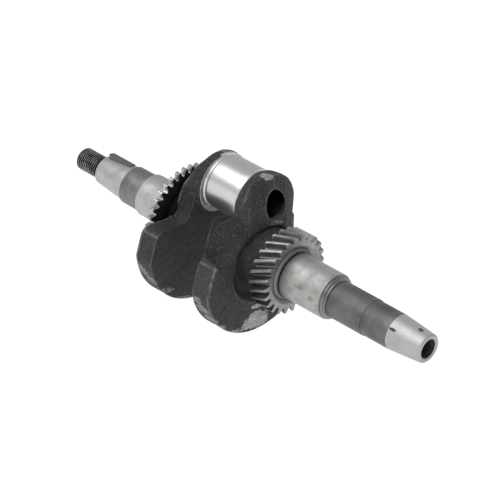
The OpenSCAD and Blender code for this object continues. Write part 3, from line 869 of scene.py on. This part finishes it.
def casting(name, side, inner_x, face_x, halves, radius, material, nodes, height, lean, wear_and_highlight):
    """A cheek with its counterweight as one rough casting, built from two height fields."""
    count, rings, lip = 460, 64, CAST_CORNER
    thick = abs(face_x - inner_x)
    loop = even_outline(*halves, radius, count)
    centre = Vector((0.0, CENTRE_Z))
    steps = [1 - (1 - i / rings) ** 1.5 for i in range(rings + 1)]
    grid = [[centre.lerp(p, t) for p in (loop if i else loop[:1])] for i, t in enumerate(steps)]
    flat = [tuple(p) for row in grid for p in row]
    gaps = iter(outline_gaps(flat, loop).tolist())
    bm = bmesh.new()
    worn_and_highlit = bm.verts.layers.float.new("wear_and_highlight")
    layers = [[], []]
    for row in grid:
        rows = ([], [])
        for point in row:
            y, z = point
            gap = next(gaps)
            corner = lip * (1 - math.sqrt(max(0.0, 1 - (1 - min(1.0, gap / lip)) ** 2)))
            low, high = lean(y, z), height(y, z, thick)
            high = max(high, low + 1.0)
            squeeze = min(1.0, (high - low) / 5)
            fade = min(1.0, gap / 1.2)
            # edge lightens the rim of the outline: partly real wear, partly a painted highlight on the
            # rounded corners.
            edge = 1 - smoothstep(0.05, 0.75, gap)
            for layer in (0, 1):
                p = Vector((y, z, 31.0 * side + 7 * layer))
                rough = noise.fractal(p * 0.25, 0.9, 2.1, 3) * 0.15 + noise.noise(p * 1.1) * 0.10
                rough *= 0.2 + 0.8 * fade
                if layer:
                    h = max(high - corner * squeeze + rough, low + 0.8)
                    shade = max(edge * smoothstep(3, 7, high - low), wear_and_highlight(y, z))
                else:
                    h = min(low + corner * 0.5 * squeeze - rough, low + 0.5)
                    upper = smoothstep(-2, 0, z) * (0.9 if side < 0 else 0.7 * (1 - smoothstep(6, 12, z)))
                    shade = edge * 0.75 * (1 - upper)
                vert = bm.verts.new((inner_x + side * h, y, z))
                vert[worn_and_highlit] = shade
                rows[layer].append(vert)
        for layer in (0, 1):
            layers[layer].append(rows[layer])
    for rows in layers:
        for k in range(count):
            bm.faces.new((rows[0][0], rows[1][k], rows[1][(k + 1) % count]))
        for a, b in zip(rows[1:], rows[2:]):
            for k in range(count):
                j = (k + 1) % count
                bm.faces.new((a[k], b[k], b[j], a[j]))
    low, high = layers[0][-1], layers[1][-1]
    walls, previous = 14, low
    for i in range(1, walls + 1):
        row = high
        if i < walls:
            row = []
            for k in range(count):
                p = low[k].co.lerp(high[k].co, i / walls)
                away = Vector((0, p.y, p.z - CENTRE_Z)).normalized()
                bump = noise.fractal(p * 0.3, 0.9, 2.1, 3) * 0.22 - 0.1
                draft = 0.5 * (i / walls) * (1 - i / walls)
                inside = min(1.0, (WEIGHT_HALF - abs(p.y)) / 0.8, (radius - math.hypot(p.y, p.z)) / 0.8)
                vert = bm.verts.new(p + away * (min(0.0, bump) + max(0.0, inside) * (draft + max(0.0, bump))))
                # The side's corner at the ledge gets the same wear and painted highlight.
                vert[worn_and_highlit] = 0.8 * (abs(p.y) > 39.5) * (1 - smoothstep(0.3, 1.0, abs(p.z + 2.2)))
                row.append(vert)
        for k in range(count):
            j = (k + 1) % count
            bm.faces.new((previous[k], row[k], row[j], previous[j]))
        previous = row
    return finish_mesh(name, bm, material, nodes, sharp=70)


def castings():
    web = casting("output_web_casting", 1, OUT_X0, OUT_FACE, (OUTPUT_NEAR, OUTPUT_FAR), WEIGHT_R, output_iron,
                  ["output_cheek", "output_counterweight"], output_height, lambda y, z: 0.0, output_wear_and_highlight)
    hole = bmesh.new()
    rings = []
    for x, r in ((OUT_X0 - 4, CORE_R - 0.1), (OUT_X0 + 4, CORE_R), (OUT_FACE - 7, CORE_R + 0.4),
                 (OUT_FACE - 4, CORE_R + 0.65), (OUT_FACE + 6, CORE_R + 0.9)):
        ring = []
        for k in range(72):
            a = TAU * k / 72
            wobble = r + 0.28 * noise.noise(Vector((a * 2.5, x * 0.12, 4.0)))
            ring.append(hole.verts.new((x, wobble * math.sin(a), CORE_Z + wobble * math.cos(a))))
        rings.append(ring)
    for a, b in zip(rings, rings[1:]):
        for k in range(72):
            hole.faces.new((a[k], b[k], b[(k + 1) % 72], a[(k + 1) % 72]))
    hole.faces.new(rings[0])
    hole.faces.new(rings[-1])
    cut_away(web, hole)
    # The cored hole's wall gets the near-black painted shade.
    web.data.materials.append(bore_painted_shade)
    for poly in web.data.polygons:
        c = poly.center / MM
        if math.hypot(c.y, c.z - CORE_Z) < CORE_R + 0.9 and c.x < OUT_FACE - 3.4 and abs(poly.normal.x) < 0.4:
            poly.material_index = 1
    casting("flywheel_web_casting", -1, FLY_X1, FLY_FACE, (FLYWHEEL_SIDE, FLYWHEEL_SIDE), FLY_WEIGHT_R,
            flywheel_iron, ["flywheel_cheek", "flywheel_counterweight"], flywheel_height, flywheel_lean,
            lambda y, z: 0.0)


# ---------------------------------------------------------------- stage, lights, camera
def stage():
    n = Nodes("pale_floor")
    speck = n.noise(8.0, 3.0, 0.5)
    tone = n.mix(n.ramp(speck, 0.2, 0.8), (0.11, 0.11, 0.11), (0.13, 0.13, 0.13))
    n.bsdf.inputs["Emission Color"].default_value = (1, 1, 1, 1)
    n.bsdf.inputs["Emission Strength"].default_value = 0.97
    mat = n.done(tone, 0.9, 0.0, 0.1)
    bm = bmesh.new()
    bmesh.ops.create_grid(bm, x_segments=2, y_segments=2, size=6.0)
    mesh = bpy.data.meshes.new("floor")
    bm.to_mesh(mesh)
    bm.free()
    floor = bpy.data.objects.new("floor", mesh)
    floor.location = (0, 0, -WEIGHT_R * MM - 0.0005)
    mesh.materials.append(mat)
    bpy.context.scene.collection.objects.link(floor)


def area_light(name, location, target, size, power):
    light = bpy.data.lights.new(name, "AREA")
    light.shape, light.size, light.energy = "DISK", size, power
    obj = bpy.data.objects.new(name, light)
    obj.location = location
    obj.rotation_mode = "QUATERNION"
    obj.rotation_quaternion = (Vector(target) - Vector(location)).to_track_quat("-Z", "Y")
    bpy.context.scene.collection.objects.link(obj)


def lights():
    world = bpy.data.worlds.new("studio")
    world.use_nodes = True
    back = world.node_tree.nodes["Background"]
    back.inputs["Color"].default_value = (1.0, 1.0, 1.0, 1.0)
    back.inputs["Strength"].default_value = 0.55
    bpy.context.scene.world = world
    area_light("key", (-0.35, -0.75, 0.85), (-0.05, 0, 0), 1.2, 8.0)
    area_light("side", (0.9, -0.5, 0.5), (0.0, 0, 0), 1.0, 0.9)
    area_light("back", (-0.1, 0.9, 0.7), (-0.05, 0, 0), 1.0, 1.0)


def camera():
    """Places the camera from the shaft's direction as it is seen, the roll of the throw and the range."""
    along = Vector((0.724, 0.402, -0.561)).normalized()
    up_page = Vector((0.4855, -0.874, 0.0))
    up_page = (up_page - along * up_page.dot(along)).normalized()
    to_eye = along.cross(up_page)
    if to_eye.z > 0:
        to_eye.negate()
    roll = math.radians(65)
    z_dir = up_page * math.sin(roll) + to_eye * math.cos(roll)
    y_dir = up_page * math.cos(roll) - to_eye * math.sin(roll)
    seen = Matrix((along, y_dir, z_dir)).transposed()
    middle = Vector((-51.8 * MM, 0, 0))
    shift = Vector((0, 0.00002, 1.764)) - seen @ middle
    eye = -(seen.transposed() @ shift)
    right, down, ahead = seen[0], seen[1], seen[2]
    cam = bpy.data.cameras.new("camera")
    cam.sensor_width, cam.lens = 36.0, 216.0
    obj = bpy.data.objects.new("camera", cam)
    turn = Matrix((right, -down, -ahead)).transposed()
    obj.matrix_world = Matrix.Translation(eye) @ turn.to_4x4()
    bpy.context.scene.collection.objects.link(obj)
    bpy.context.scene.camera = obj


flywheel_end()
output_end()
pin()
thrust_ring("flywheel_thrust_ring", *span("flywheel_thrust_face"), "flywheel_thrust_face", flywheel_iron,
            FLYWHEEL_SIDE)
thrust_ring("output_thrust_ring", *reversed(span("output_thrust_face")), "output_thrust_face", output_iron,
            OUTPUT_NEAR)
gears()
castings()
stage()
lights()
camera()
bpy.context.scene.view_settings.view_transform = "Standard"
